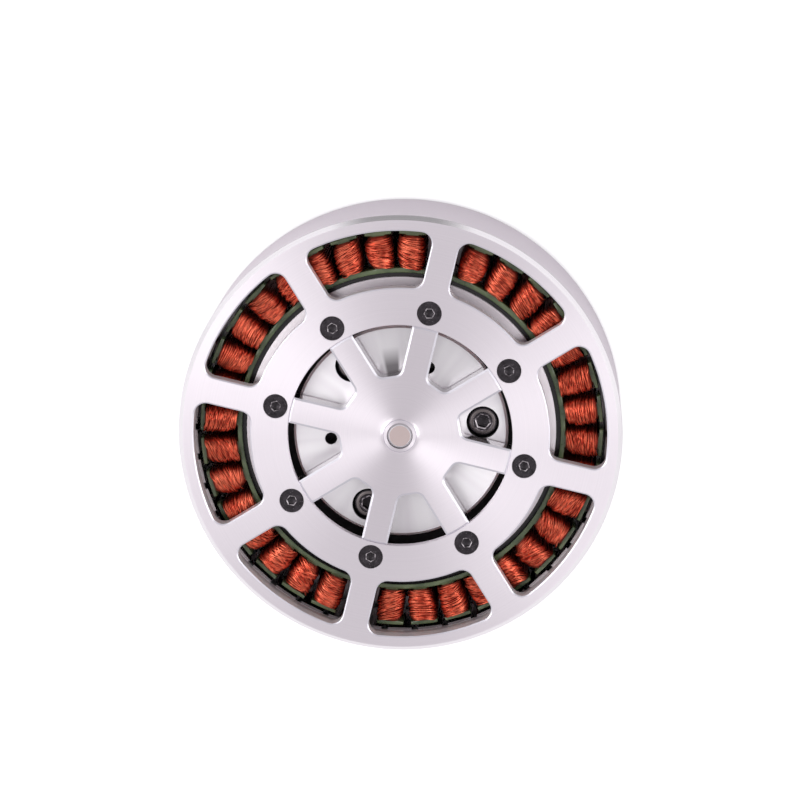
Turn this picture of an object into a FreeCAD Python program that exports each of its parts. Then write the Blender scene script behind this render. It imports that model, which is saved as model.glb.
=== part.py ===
"""Pancake joint actuator: an outrunner motor with an eight-armed rotor, 36 coils and 42 magnets.

The part stands on its rear mounting face at z = 0, with the shaft along +Z and the rotor's
face on top. +X runs through one arm of the rotor and through the middle of one stator tooth.
All sizes are in millimetres.
"""
import FreeCAD, Part
import math
import os
import Sketcher

SIZES = {
    # rotor face: a ring with windows between bars, a thin lip at its bore, and the skirt below
    "face_thickness": 3.8,
    "bore_margin": 3.7,
    "lip_thickness": 2.0,
    "window_land": 5.4,
    "window_rim_width": 3.7,
    "window_ledge": 0.25,
    "window_bar_width": 6.5,
    "window_corner": 2.8,
    "window_count": 8,
    "rim_chamfer": 1.1,
    "skirt_wall": 1.0,
    "skirt_foot": 3.3,
    # rotor hub: arms from a turned centre, each with a tongue under the bell's lip
    "arm_width": 6.4,
    "pocket_start": 14.8,
    "pocket_corner": 2.0,
    "tongue_root": 0.8,
    "tongue_reach": 3.5,
    "tongue_thickness": 4.0,
    "tongue_clearance": 0.3,
    "spigot_clearance": 0.03,
    "hub_clearance": 0.4,
    "hub_dish": 0.6,
    "collar_wall": 1.1,
    "collar_height": 0.5,
    "collar_flare": 0.8,
    "collar_flare_height": 0.2,
    # countersunk screws through the bell's lip into the tongues
    "face_screw_radius": 1.5,
    "face_screw_head_radius": 3.0,
    "face_screw_length": 6.0,
    "screw_clearance": 0.1,
    "head_clearance": 0.01,
    # shaft
    "shaft_radius": 3.0,
    "shaft_chamfer": 0.45,
    "shaft_foot": 0.5,
    "shaft_top_recess": 0.1,
    # magnets and the steel ring behind them
    "magnet_pair_count": 21,
    "magnet_width": 5.9,
    "magnet_thickness": 1.5,
    "magnet_overhang": 0.5,
    "flux_ring_thickness": 1.4,
    "flux_ring_clearance": 0.7,
    # stator stack
    "stack_length": 15.9,
    "core_coat": 0.5,
    "yoke_width": 2.3,
    "tooth_count": 36,
    "tooth_width": 3.2,
    "tooth_tip_width": 6.6,
    "tooth_tip_thickness": 0.95,
    "tooth_length": 9.15,
    "air_gap": 0.62,
    # coils
    "coil_build": 2.9,
    "coil_side": 1.1,
    "coil_outer_half_width": 3.6,
    "coil_inner_half_width": 3.1,
    "coil_chamfer": 1.4,
    "coil_clearance": 0.15,
    "coil_face_clearance": 0.6,
    "pairs_per_phase": 6,
    # bearing housing, and the flange and sleeve that hold the core
    "seat_height": 4.8,
    "web_thickness": 3.5,
    "flange_lip": 2.05,
    "sleeve_radius": 37.85,
    "sleeve_wall": 2.65,
    "floor_wall": 2.1,
    "floor_clearance": 0.3,
    "floor_chamfer": 0.6,
    "floor_gap": 2.3,
    "tube_clearance": 2.0,
    # cap screws that hold the bearing housing to the base plate
    "cap_screw_circle": 20.1,
    "cap_screw_count": 3,
    "cap_screw_radius": 2.0,
    "cap_screw_head_radius": 3.5,
    "cap_screw_head_height": 4.0,
    "cap_screw_socket": 3.0,
    "cap_screw_socket_depth": 2.2,
    "cap_screw_sink": 1.2,
    "cap_screw_tip": 1.2,
    "counterbore_radius": 4.0,
    "jack_hole_circle": 17.2,
    "jack_hole_radius": 1.5,
    "jack_hole_depth": 6.0,
    # base plate
    "base_thickness": 4.5,
    "base_rim_gap": 0.7,
    "base_chamfer": 0.5,
    "base_bore_step": 1.0,
    "mount_circle": 28.0,
    "mount_hole_radius": 1.65,
    "mount_hole_count": 6,
    "slot_margin": 1.1,
    "slot_width": 6.5,
    "slot_half_angle": 19.0,
    "slot_end_ease": 0.1,
    "slot_count": 6,
    "lead_hole_radius": 1.6,
    "lead_hole_pitch": 5.5,
    "grommet_lip": 0.6,
    "grommet_lip_width": 0.8,
    # front bearing
    "front_bearing_radius": 7.5,
    "front_bearing_width": 5.0,
    "front_bearing_recess": 0.3,
    "front_inner_wall": 1.4,
    # rear bearing
    "rear_bearing_radius": 9.5,
    "rear_bearing_width": 6.0,
    "rear_bearing_inset": 3.5,
    "rear_inner_wall": 1.8,
    "shield_gap": 0.12,
    # spacer, preload washer and retaining rings
    "spacer_wall": 1.2,
    "washer_thickness": 0.5,
    "washer_width": 1.4,
    "bore_ring_thickness": 1.0,
    "bore_ring_depth": 0.5,
    "bore_ring_width": 1.8,
    "shaft_ring_thickness": 0.7,
    "shaft_ring_depth": 0.2,
    "shaft_ring_width": 1.4,
    "ring_opening": 3.0,
}

# Heights above the mounting face, worked out from the sizes from the bottom up.
BASE_TOP = "Sizes.base_thickness"
CORE_FOOT = f"({BASE_TOP} + Sizes.seat_height)"
CORE_TOP = f"({CORE_FOOT} + Sizes.stack_length)"
COAT_FOOT = f"({CORE_FOOT} - Sizes.core_coat)"
COAT_TOP = f"({CORE_TOP} + Sizes.core_coat)"
COIL_FOOT = f"({COAT_FOOT} - Sizes.coil_build)"
COIL_TOP = f"({COAT_TOP} + Sizes.coil_build)"
MAGNET_FOOT = f"({CORE_FOOT} - Sizes.magnet_overhang)"
MAGNET_TOP = f"({CORE_TOP} + Sizes.magnet_overhang)"
FACE_FOOT = f"({COIL_TOP} + Sizes.coil_face_clearance)"
FACE_TOP = f"({FACE_FOOT} + Sizes.face_thickness)"
LIP_FOOT = f"({FACE_TOP} - Sizes.lip_thickness)"
TONGUE_FOOT = f"({LIP_FOOT} - Sizes.tongue_thickness)"
HUB_CENTRE_TOP = f"({FACE_TOP} - Sizes.hub_dish)"
COLLAR_TOP = f"({HUB_CENTRE_TOP} + Sizes.collar_height)"
SHAFT_TOP = f"({COLLAR_TOP} - Sizes.shaft_top_recess)"
FLOOR_TOP = f"({FACE_FOOT} - Sizes.floor_gap)"
HUB_FOOT = f"({FLOOR_TOP} + Sizes.hub_clearance)"
WEB_TOP = f"({BASE_TOP} + Sizes.web_thickness)"
FRONT_TOP = f"({FLOOR_TOP} - Sizes.front_bearing_recess)"
FRONT_FOOT = f"({FRONT_TOP} - Sizes.front_bearing_width)"
REAR_FOOT = f"({BASE_TOP} + Sizes.rear_bearing_inset)"
REAR_TOP = f"({REAR_FOOT} + Sizes.rear_bearing_width)"
WASHER_TOP = f"({REAR_TOP} + Sizes.washer_thickness)"
CAP_TOP = f"({FLOOR_TOP} - Sizes.cap_screw_sink)"
CAP_SEAT = f"({CAP_TOP} - Sizes.cap_screw_head_height)"
CAP_TIP = "Sizes.cap_screw_tip"
FLUX_FOOT = f"({BASE_TOP} + Sizes.flux_ring_clearance)"

# Radii from the cap screws outwards: the floor, the tongues past it, the face's screws and windows.
FLOOR_RADIUS = "(Sizes.cap_screw_circle + Sizes.counterbore_radius + Sizes.floor_wall)"
TONGUE_START = f"({FLOOR_RADIUS} + Sizes.floor_clearance)"
RING_BORE = f"({TONGUE_START} + Sizes.tongue_root)"
HUB_RADIUS = f"({RING_BORE} - Sizes.spigot_clearance)"
SCREW_CIRCLE = f"({RING_BORE} + Sizes.bore_margin)"
TONGUE_END = f"({SCREW_CIRCLE} + Sizes.tongue_reach)"
RECESS_RADIUS = f"({TONGUE_END} + Sizes.tongue_clearance)"
WINDOW_INNER = f"({SCREW_CIRCLE} + Sizes.window_land)"

# Radii from the sleeve outwards: the flange, the slots past it, the teeth, the magnets and the rim.
FLANGE_RADIUS = "(Sizes.sleeve_radius + Sizes.flange_lip)"
SLOT_INNER = f"({FLANGE_RADIUS} + Sizes.slot_margin)"
SLOT_OUTER = f"({SLOT_INNER} + Sizes.slot_width)"
YOKE_RADIUS = "(Sizes.sleeve_radius + Sizes.yoke_width)"
TIP_RADIUS = f"({YOKE_RADIUS} + Sizes.tooth_length)"
TIP_INNER = f"({TIP_RADIUS} - Sizes.tooth_tip_thickness)"
COIL_START = f"({YOKE_RADIUS} + Sizes.coil_clearance)"
COIL_END = f"({TIP_INNER} - Sizes.coil_clearance)"
MAGNET_INNER = f"({TIP_RADIUS} + Sizes.air_gap)"
MAGNET_OUTER = f"({MAGNET_INNER} + Sizes.magnet_thickness)"
FLUX_INNER = f"sqrt({MAGNET_OUTER} ^ 2 + (Sizes.magnet_width / 2) ^ 2)"
FLUX_OUTER = f"({FLUX_INNER} + Sizes.flux_ring_thickness)"
RIM_RADIUS = f"({FLUX_OUTER} + Sizes.skirt_wall)"
WINDOW_OUTER = f"({RIM_RADIUS} - Sizes.window_rim_width)"
BASE_RADIUS = f"({FLUX_OUTER} - Sizes.base_rim_gap)"
SLEEVE_INNER = "(Sizes.sleeve_radius - Sizes.sleeve_wall)"

# Other radii and angles.
BASE_BORE = "(Sizes.rear_bearing_radius + Sizes.base_bore_step)"
TUBE_BORE = "(Sizes.shaft_radius + Sizes.spacer_wall + Sizes.tube_clearance)"
BOSS_RADIUS = "(Sizes.shaft_radius + Sizes.front_inner_wall)"
COLLAR_RADIUS = "(Sizes.shaft_radius + Sizes.collar_wall)"
HEAD_DEPTH = "(Sizes.face_screw_head_radius - Sizes.face_screw_radius)"
HALF_ARM_ANGLE = "(180 / Sizes.window_count * 1 deg)"
TOOTH_ANGLE = "(360 / Sizes.tooth_count * 1 deg)"
CAP_ANGLE = f"(2 * {TOOTH_ANGLE})"
HALF_CAP_PITCH = "(180 / Sizes.cap_screw_count * 1 deg)"

doc = FreeCAD.newDocument("joint_actuator")
sheet = doc.addObject("Spreadsheet::Sheet", "Sizes")
for row, (alias, size) in enumerate(SIZES.items(), 1):
    sheet.set(f"A{row}", str(size))
    sheet.setAlias(f"A{row}", alias)
doc.recompute()

nodes = []


def value(expression):
    """The number that an expression on the sheet gives."""
    found = sheet.evalExpression(str(expression))
    return float(getattr(found, "Value", found))


def bind(item, **expressions):
    """Bind properties of an object to expressions; a double underscore stands for a dot."""
    for name, expression in expressions.items():
        item.setExpression(name.replace("__", "."), str(expression))


def keep(item, name):
    """Mark an object as a sub-part of its own, under its name."""
    item.Label = name
    nodes.append(item)
    return item


# Sketches -----------------------------------------------------------------------------------

def new_sketch(body, name, role="XY_Plane", lift="0", turn="0"):
    """A sketch on one of the body's own planes, lifted along its normal and turned about it."""
    drawing = body.newObject("Sketcher::SketchObject", name)
    plane = next(item for item in body.Origin.OriginFeatures if item.Role == role)
    drawing.AttachmentSupport = (plane, [""])
    drawing.MapMode = "FlatFace"
    bind(drawing, AttachmentOffset__Base__z=lift, AttachmentOffset__Rotation__Angle=turn)
    return drawing


def fix(drawing, kind, *place, to):
    """A dimension of a sketch, bound to an expression."""
    number = drawing.addConstraint(Sketcher.Constraint(kind, *place, value(to)))
    drawing.setExpression(f"Constraints[{number}]", str(to))


def arc_between(start, end, radius):
    """The short counter-clockwise arc from start to end."""
    chord = end - start
    middle = (start + end) * 0.5
    reach = math.sqrt(max(radius * radius - chord.Length * chord.Length / 4, 0))
    normal = FreeCAD.Vector(-chord.y, chord.x, 0).normalize()
    bulge = middle + normal * (reach - radius)
    return Part.Arc(start, bulge, end)


def outline(drawing, corners, bends=None):
    """A closed outline through the corners, pairs of expressions; bends gives the radius of an arc.

    The number in bends is that of the corner where the arc starts. Its expression starts with a
    minus sign where the arc turns to the right, which is clockwise.
    """
    bends = bends or {}
    points = [FreeCAD.Vector(value(across), value(up), 0) for across, up in corners]
    first = drawing.GeometryCount
    count = len(corners)
    starts = []
    ends = []
    for number in range(count):
        start = points[number]
        end = points[(number + 1) % count]
        radius = value(bends[number]) if number in bends else 0
        if radius > 0:
            drawing.addGeometry(arc_between(start, end, radius), False)
        elif radius < 0:
            drawing.addGeometry(arc_between(end, start, -radius), False)
        else:
            drawing.addGeometry(Part.LineSegment(start, end), False)
        starts.append(2 if radius < 0 else 1)
        ends.append(1 if radius < 0 else 2)
    for number in range(count):
        after = (number + 1) % count
        drawing.addConstraint(
            Sketcher.Constraint("Coincident", first + number, ends[number], first + after, starts[after])
        )
    for number, (across, up) in enumerate(corners):
        fix(drawing, "DistanceX", first + number, starts[number], to=across)
        fix(drawing, "DistanceY", first + number, starts[number], to=up)
    for number, radius in bends.items():
        fix(drawing, "Radius", first + number, to=f"abs({radius})")


def circle(drawing, radius, across="0", up="0"):
    centre = FreeCAD.Vector(value(across), value(up), 0)
    number = drawing.addGeometry(Part.Circle(centre, FreeCAD.Vector(0, 0, 1), value(radius)), False)
    fix(drawing, "DistanceX", number, 3, to=across)
    fix(drawing, "DistanceY", number, 3, to=up)
    fix(drawing, "Radius", number, to=radius)


def polar(radius, angle):
    """The corner at a radius and an angle, as a pair of expressions."""
    return (f"({radius}) * cos({angle})", f"({radius}) * sin({angle})")


# Body features ------------------------------------------------------------------------------

def new_body(name):
    return keep(doc.addObject("PartDesign::Body", name), name)


def turned(body, name, corners):
    """A solid of revolution about Z from its outline, in radius and height."""
    drawing = new_sketch(body, f"{name}_profile", "XZ_Plane")
    outline(drawing, corners)
    feature = body.newObject("PartDesign::Revolution", name)
    feature.Profile = drawing
    feature.ReferenceAxis = (drawing, ["V_Axis"])
    feature.Angle = 360
    body.Tip = feature
    return feature


def pad(body, drawing, name, length):
    feature = body.newObject("PartDesign::Pad", name)
    feature.Profile = drawing
    bind(feature, Length=length)
    body.Tip = feature
    return feature


def pocket(body, drawing, name, depth):
    """Cut downwards from the sketch; the sketch lies at the top of the cut."""
    feature = body.newObject("PartDesign::Pocket", name)
    feature.Profile = drawing
    bind(feature, Length=depth)
    body.Tip = feature
    return feature


def around(body, features, name, count):
    """Repeat features all the way round the Z axis."""
    pattern = body.newObject("PartDesign::PolarPattern", name)
    axis = next(item for item in body.Origin.OriginFeatures if item.Role == "Z_Axis")
    pattern.Originals = features
    pattern.Axis = (axis, [""])
    pattern.Angle = 360
    bind(pattern, Occurrences=count)
    body.Tip = pattern
    return pattern


def hole(body, name, radius, top, depth, across, up="0", turn="0"):
    """A round blind or through hole, cut down from a height."""
    drawing = new_sketch(body, f"{name}_circle", lift=top, turn=turn)
    circle(drawing, radius, across, up)
    return pocket(body, drawing, name, depth)


def hex_corners(across, flats):
    """The corners of a hexagon, by its width across flats and its middle's distance from Z."""
    corner = f"({flats}) / sqrt(3)"
    return [(f"{across} + {corner} * cos({turn} deg)", f"{corner} * sin({turn} deg)")
            for turn in range(0, 360, 60)]


def round_upright_edges(body, name, base, radius, near):
    """Round the upright edges of a feature that lie at a distance from the Z axis."""
    doc.recompute()
    names = []
    for number, edge in enumerate(base.Shape.Edges, 1):
        if len(edge.Vertexes) < 2:
            continue
        low, high = (vertex.Point for vertex in edge.Vertexes[:2])
        upright = math.hypot(low.x - high.x, low.y - high.y) < 1e-4 and abs(low.z - high.z) > 1e-3
        distance = math.hypot(low.x, low.y)
        if upright and any(abs(distance - value(reach)) < 0.02 for reach in near):
            names.append(f"Edge{number}")
    feature = body.newObject("PartDesign::Fillet", name)
    feature.Base = (base, names)
    bind(feature, Radius=radius)
    body.Tip = feature
    return feature


# Plain rings from Part solids ---------------------------------------------------------------

def cylinder(name, radius, foot, top):
    solid = doc.addObject("Part::Cylinder", name)
    bind(solid, Radius=radius, Height=f"{top} - {foot}", Placement__Base__z=foot)
    return solid


def ring(name, inner, outer, foot, top):
    """A plain ring about the Z axis."""
    cut = doc.addObject("Part::Cut", name)
    cut.Base = cylinder(f"{name}_blank", outer, foot, top)
    cut.Tool = cylinder(f"{name}_bore", inner, foot, top)
    return cut


def open_ring(name, inner, outer, foot, top):
    """A retaining ring: a plain ring with a gap on its +Y side."""
    gap = doc.addObject("Part::Box", f"{name}_gap")
    bind(
        gap,
        Length="Sizes.ring_opening",
        Width=outer,
        Height=f"{top} - {foot}",
        Placement__Base__x="-Sizes.ring_opening / 2",
        Placement__Base__z=foot,
    )
    cut = doc.addObject("Part::Cut", name)
    cut.Base = ring(f"{name}_round", inner, outer, foot, top)
    cut.Tool = gap
    return cut


# Rotor --------------------------------------------------------------------------------------

def make_rotor_bell():
    """Face ring and rim in one turned piece, with windows and countersunk screw holes."""
    body = new_body("rotor_bell")
    wall = f"({WINDOW_OUTER} + Sizes.window_ledge)"
    turned(body, "bell_turning", [
        (RING_BORE, LIP_FOOT),
        (RECESS_RADIUS, LIP_FOOT),
        (RECESS_RADIUS, FACE_FOOT),
        (wall, FACE_FOOT),
        (wall, MAGNET_TOP),
        (RIM_RADIUS, MAGNET_TOP),
        (RIM_RADIUS, f"{FACE_TOP} - Sizes.rim_chamfer"),
        (f"{RIM_RADIUS} - Sizes.rim_chamfer", FACE_TOP),
        (RING_BORE, FACE_TOP),
    ])
    inner_angle = f"({HALF_ARM_ANGLE} - asin(Sizes.window_bar_width / 2 / {WINDOW_INNER}))"
    outer_angle = f"({HALF_ARM_ANGLE} - asin(Sizes.window_bar_width / 2 / {WINDOW_OUTER}))"
    window = new_sketch(body, "window_outline", lift=FACE_TOP, turn=HALF_ARM_ANGLE)
    outline(window, [
        polar(WINDOW_INNER, f"-{inner_angle}"),
        polar(WINDOW_OUTER, f"-{outer_angle}"),
        polar(WINDOW_OUTER, outer_angle),
        polar(WINDOW_INNER, inner_angle),
    ], {1: WINDOW_OUTER, 3: f"-{WINDOW_INNER}"})
    cut = pocket(body, window, "window", "Sizes.face_thickness")
    windows = around(body, [cut], "windows", "Sizes.window_count")
    round_upright_edges(
        body, "window_corners", windows, "Sizes.window_corner",
        [WINDOW_INNER, WINDOW_OUTER],
    )
    shank = hole(
        body, "screw_hole", "Sizes.face_screw_radius + Sizes.screw_clearance",
        FACE_TOP, "Sizes.lip_thickness", SCREW_CIRCLE,
    )
    around(body, [shank], "screw_holes", "Sizes.window_count")
    sink = body.newObject("PartDesign::SubtractiveCone", "countersink")
    bind(
        sink,
        Radius1="Sizes.face_screw_radius",
        Radius2="Sizes.face_screw_head_radius + Sizes.head_clearance",
        Height=HEAD_DEPTH,
        Placement__Base__x=SCREW_CIRCLE,
        Placement__Base__z=f"{FACE_TOP} - {HEAD_DEPTH}",
    )
    around(body, [sink], "countersinks", "Sizes.window_count")


def make_rotor_skirt():
    """Thin skirt under the bell's rim, round the steel ring."""
    keep(ring("rotor_skirt", FLUX_OUTER, RIM_RADIUS, "Sizes.skirt_foot", MAGNET_TOP), "rotor_skirt")


def make_rotor_hub():
    """Turned hub with arms between pockets, a tongue under each arm's end and a boss below."""
    body = new_body("rotor_hub")
    turned(body, "hub_turning", [
        ("Sizes.shaft_radius", FRONT_TOP),
        (BOSS_RADIUS, FRONT_TOP),
        (BOSS_RADIUS, HUB_FOOT),
        (HUB_RADIUS, HUB_FOOT),
        (HUB_RADIUS, FACE_TOP),
        (f"{COLLAR_RADIUS} + Sizes.collar_flare", HUB_CENTRE_TOP),
        (COLLAR_RADIUS, f"{HUB_CENTRE_TOP} + Sizes.collar_flare_height"),
        (COLLAR_RADIUS, COLLAR_TOP),
        ("Sizes.shaft_radius", COLLAR_TOP),
    ])
    slope = f"tan({HALF_ARM_ANGLE})"
    offset = f"Sizes.arm_width / 2 / cos({HALF_ARM_ANGLE})"
    far = f"({HUB_RADIUS} + Sizes.arm_width)"
    inner_half = f"(Sizes.pocket_start * {slope} - {offset})"
    far_half = f"({far} * {slope} - {offset})"
    gap = new_sketch(body, "pocket_outline", lift=FACE_TOP, turn=HALF_ARM_ANGLE)
    outline(gap, [
        ("Sizes.pocket_start", f"-{inner_half}"),
        (far, f"-{far_half}"),
        (far, far_half),
        ("Sizes.pocket_start", inner_half),
    ])
    cut = pocket(body, gap, "arm_gap", f"{FACE_TOP} - {HUB_FOOT}")
    gaps = around(body, [cut], "arm_gaps", "Sizes.window_count")
    round_upright_edges(
        body, "pocket_corners", gaps, "Sizes.pocket_corner",
        [f"sqrt(Sizes.pocket_start ^ 2 + {inner_half} ^ 2)"],
    )
    end = new_sketch(body, "tongue_outline", lift=TONGUE_FOOT)
    half = "Sizes.arm_width / 2"
    outline(end, [
        (TONGUE_START, f"-{half}"),
        (TONGUE_END, f"-{half}"),
        (TONGUE_END, half),
        (TONGUE_START, half),
    ])
    tongue = pad(body, end, "tongue", "Sizes.tongue_thickness")
    around(body, [tongue], "tongues", "Sizes.window_count")
    thread = hole(
        body, "tapped_hole", "Sizes.face_screw_radius", LIP_FOOT,
        "Sizes.tongue_thickness", SCREW_CIRCLE,
    )
    around(body, [thread], "tapped_holes", "Sizes.window_count")


def make_face_screws():
    """Countersunk screws, flush with the bell's face."""
    body = new_body("face_screws")
    blank = body.newObject("PartDesign::AdditiveCylinder", "shank")
    bind(
        blank,
        Radius="Sizes.face_screw_radius",
        Height=f"Sizes.face_screw_length - {HEAD_DEPTH}",
        Placement__Base__x=SCREW_CIRCLE,
        Placement__Base__z=f"{FACE_TOP} - Sizes.face_screw_length",
    )
    head = body.newObject("PartDesign::AdditiveCone", "head")
    bind(
        head,
        Radius1="Sizes.face_screw_radius",
        Radius2="Sizes.face_screw_head_radius",
        Height=HEAD_DEPTH,
        Placement__Base__x=SCREW_CIRCLE,
        Placement__Base__z=f"{FACE_TOP} - {HEAD_DEPTH}",
    )
    around(body, [blank, head], "screws", "Sizes.window_count")


def make_shaft():
    """Plain shaft with chamfered ends and a groove for its retaining ring."""
    body = new_body("shaft")
    short = "Sizes.shaft_radius - Sizes.shaft_chamfer"
    turned(body, "shaft_turning", [
        ("0", "Sizes.shaft_foot"),
        (short, "Sizes.shaft_foot"),
        ("Sizes.shaft_radius", "Sizes.shaft_foot + Sizes.shaft_chamfer"),
        ("Sizes.shaft_radius", f"{REAR_FOOT} - Sizes.shaft_ring_thickness"),
        ("Sizes.shaft_radius - Sizes.shaft_ring_depth", f"{REAR_FOOT} - Sizes.shaft_ring_thickness"),
        ("Sizes.shaft_radius - Sizes.shaft_ring_depth", REAR_FOOT),
        ("Sizes.shaft_radius", REAR_FOOT),
        ("Sizes.shaft_radius", f"{SHAFT_TOP} - Sizes.shaft_chamfer"),
        (short, SHAFT_TOP),
        ("0", SHAFT_TOP),
    ])


def make_flux_ring():
    keep(ring("flux_ring", FLUX_INNER, FLUX_OUTER, FLUX_FOOT, MAGNET_TOP), "flux_ring")


def make_magnets(name, turn):
    """Every second magnet: flat blocks whose outer edges bear on the steel ring."""
    body = new_body(name)
    half = "Sizes.magnet_width / 2"
    block = new_sketch(body, f"{name}_outline", lift=MAGNET_FOOT, turn=turn)
    outline(block, [
        (MAGNET_INNER, f"-{half}"),
        (MAGNET_OUTER, f"-{half}"),
        (MAGNET_OUTER, half),
        (MAGNET_INNER, half),
    ])
    magnet = pad(body, block, f"{name}_block", f"{MAGNET_TOP} - {MAGNET_FOOT}")
    around(body, [magnet], f"{name}_ring", "Sizes.magnet_pair_count")


# Stator -------------------------------------------------------------------------------------

def make_stator_core():
    """Coated stack of laminations: a yoke with T-shaped teeth."""
    body = new_body("stator_core")
    turned(body, "yoke", [
        ("Sizes.sleeve_radius", COAT_FOOT),
        (YOKE_RADIUS, COAT_FOOT),
        (YOKE_RADIUS, COAT_TOP),
        ("Sizes.sleeve_radius", COAT_TOP),
    ])
    plan = new_sketch(body, "tooth_outline", lift=COAT_FOOT)
    half = "Sizes.tooth_width / 2"
    tip_half = "Sizes.tooth_tip_width / 2"
    root = f"({YOKE_RADIUS} - Sizes.tooth_width / 4)"
    shoulder = f"{TIP_INNER} - Sizes.coil_clearance"
    tip_edge = f"sqrt({TIP_RADIUS} ^ 2 - ({tip_half}) ^ 2)"
    tip_side = f"({tip_edge} - Sizes.tooth_tip_thickness / 2)"
    outline(plan, [
        (root, f"-{half}"),
        (shoulder, f"-{half}"),
        (tip_side, f"-{tip_half}"),
        (tip_edge, f"-{tip_half}"),
        (tip_edge, tip_half),
        (tip_side, tip_half),
        (shoulder, half),
        (root, half),
    ], {3: TIP_RADIUS})
    tooth = pad(body, plan, "tooth", f"{COAT_TOP} - {COAT_FOOT}")
    around(body, [tooth], "teeth", "Sizes.tooth_count")


def coil_section(body, name, across, half_width):
    """The section of a coil across its tooth, at a distance from the Z axis."""
    drawing = new_sketch(body, name, "YZ_Plane", lift=across)
    corner = "Sizes.coil_chamfer"
    side = f"({half_width})"
    outline(drawing, [
        (f"-{side}", f"{COIL_FOOT} + {corner}"),
        (f"-{side} + {corner}", COIL_FOOT),
        (f"{side} - {corner}", COIL_FOOT),
        (side, f"{COIL_FOOT} + {corner}"),
        (side, f"{COIL_TOP} - {corner}"),
        (f"{side} - {corner}", COIL_TOP),
        (f"-{side} + {corner}", COIL_TOP),
        (f"-{side}", f"{COIL_TOP} - {corner}"),
    ])
    return drawing


def make_coils(name, turn):
    """One phase: coils on pairs of neighbouring teeth, all the way round."""
    body = new_body(name)
    axis = next(item for item in body.Origin.OriginFeatures if item.Role == "Z_Axis")
    inner = coil_section(body, f"{name}_inner", COIL_START, "Sizes.coil_inner_half_width")
    outer = coil_section(body, f"{name}_outer", COIL_END, "Sizes.coil_outer_half_width")
    winding = body.newObject("PartDesign::AdditiveLoft", f"{name}_winding")
    winding.Profile = inner
    winding.Sections = [outer]
    winding.Ruled = True
    opening = new_sketch(body, f"{name}_opening", lift=COAT_TOP)
    half = "Sizes.tooth_width / 2 + Sizes.coil_clearance"
    outline(opening, [
        (f"{COIL_START} - Sizes.coil_side", f"-({half})"),
        (f"{COIL_END} + Sizes.coil_side", f"-({half})"),
        (f"{COIL_END} + Sizes.coil_side", f"{half}"),
        (f"{COIL_START} - Sizes.coil_side", f"{half}"),
    ])
    tooth_space = pocket(body, opening, f"{name}_tooth_space", f"{COAT_TOP} - {COAT_FOOT}")
    both = body.newObject("PartDesign::MultiTransform", f"{name}_set")
    both.Originals = [winding, tooth_space]
    pair = body.newObject("PartDesign::PolarPattern", f"{name}_pair")
    pair.Axis = (axis, [""])
    bind(pair, Angle=TOOTH_ANGLE)
    pair.Occurrences = 2
    pairs = body.newObject("PartDesign::PolarPattern", f"{name}_pairs")
    pairs.Axis = (axis, [""])
    pairs.Angle = 360
    bind(pairs, Occurrences="Sizes.pairs_per_phase")
    both.Transformations = [pair, pairs]
    body.Tip = both
    bind(body, Placement__Rotation__Angle=turn)


def make_bearing_housing():
    """Housing in the middle: both bearing seats, the polished floor and holes for the screws."""
    body = new_body("bearing_housing")
    seat = "Sizes.rear_bearing_radius"
    groove = f"({seat} + Sizes.bore_ring_depth)"
    groove_foot = f"({REAR_FOOT} - Sizes.bore_ring_thickness)"
    turned(body, "housing_turning", [
        (seat, BASE_TOP),
        (FLOOR_RADIUS, BASE_TOP),
        (FLOOR_RADIUS, f"{FLOOR_TOP} - Sizes.floor_chamfer"),
        (f"{FLOOR_RADIUS} - Sizes.floor_chamfer", FLOOR_TOP),
        ("Sizes.front_bearing_radius", FLOOR_TOP),
        ("Sizes.front_bearing_radius", FRONT_FOOT),
        (TUBE_BORE, FRONT_FOOT),
        (TUBE_BORE, WASHER_TOP),
        (seat, WASHER_TOP),
        (seat, REAR_FOOT),
        (groove, REAR_FOOT),
        (groove, groove_foot),
        (seat, groove_foot),
    ])
    sink = hole(
        body, "counterbore", "Sizes.counterbore_radius", FLOOR_TOP,
        f"{FLOOR_TOP} - {CAP_SEAT}", "Sizes.cap_screw_circle", turn=CAP_ANGLE,
    )
    shank = hole(
        body, "cap_screw_hole", "Sizes.cap_screw_radius + Sizes.screw_clearance", FLOOR_TOP,
        f"{FLOOR_TOP} - {BASE_TOP}", "Sizes.cap_screw_circle", turn=CAP_ANGLE,
    )
    jack = hole(
        body, "jack_hole", "Sizes.jack_hole_radius", FLOOR_TOP, "Sizes.jack_hole_depth",
        "Sizes.jack_hole_circle", turn=f"{CAP_ANGLE} + {HALF_CAP_PITCH}",
    )
    around(body, [sink, shank, jack], "floor_holes", "Sizes.cap_screw_count")


def make_stator_flange():
    """Flat ring pressed round the housing; the sleeve and the core stand on it."""
    body = new_body("stator_flange")
    turned(body, "flange_turning", [
        (FLOOR_RADIUS, BASE_TOP),
        (FLANGE_RADIUS, BASE_TOP),
        (FLANGE_RADIUS, COAT_FOOT),
        ("Sizes.sleeve_radius", COAT_FOOT),
        ("Sizes.sleeve_radius", WEB_TOP),
        (FLOOR_RADIUS, WEB_TOP),
    ])


def make_core_sleeve():
    sleeve = ring("core_sleeve", SLEEVE_INNER, "Sizes.sleeve_radius", WEB_TOP, CORE_TOP)
    keep(sleeve, "core_sleeve")


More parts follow.
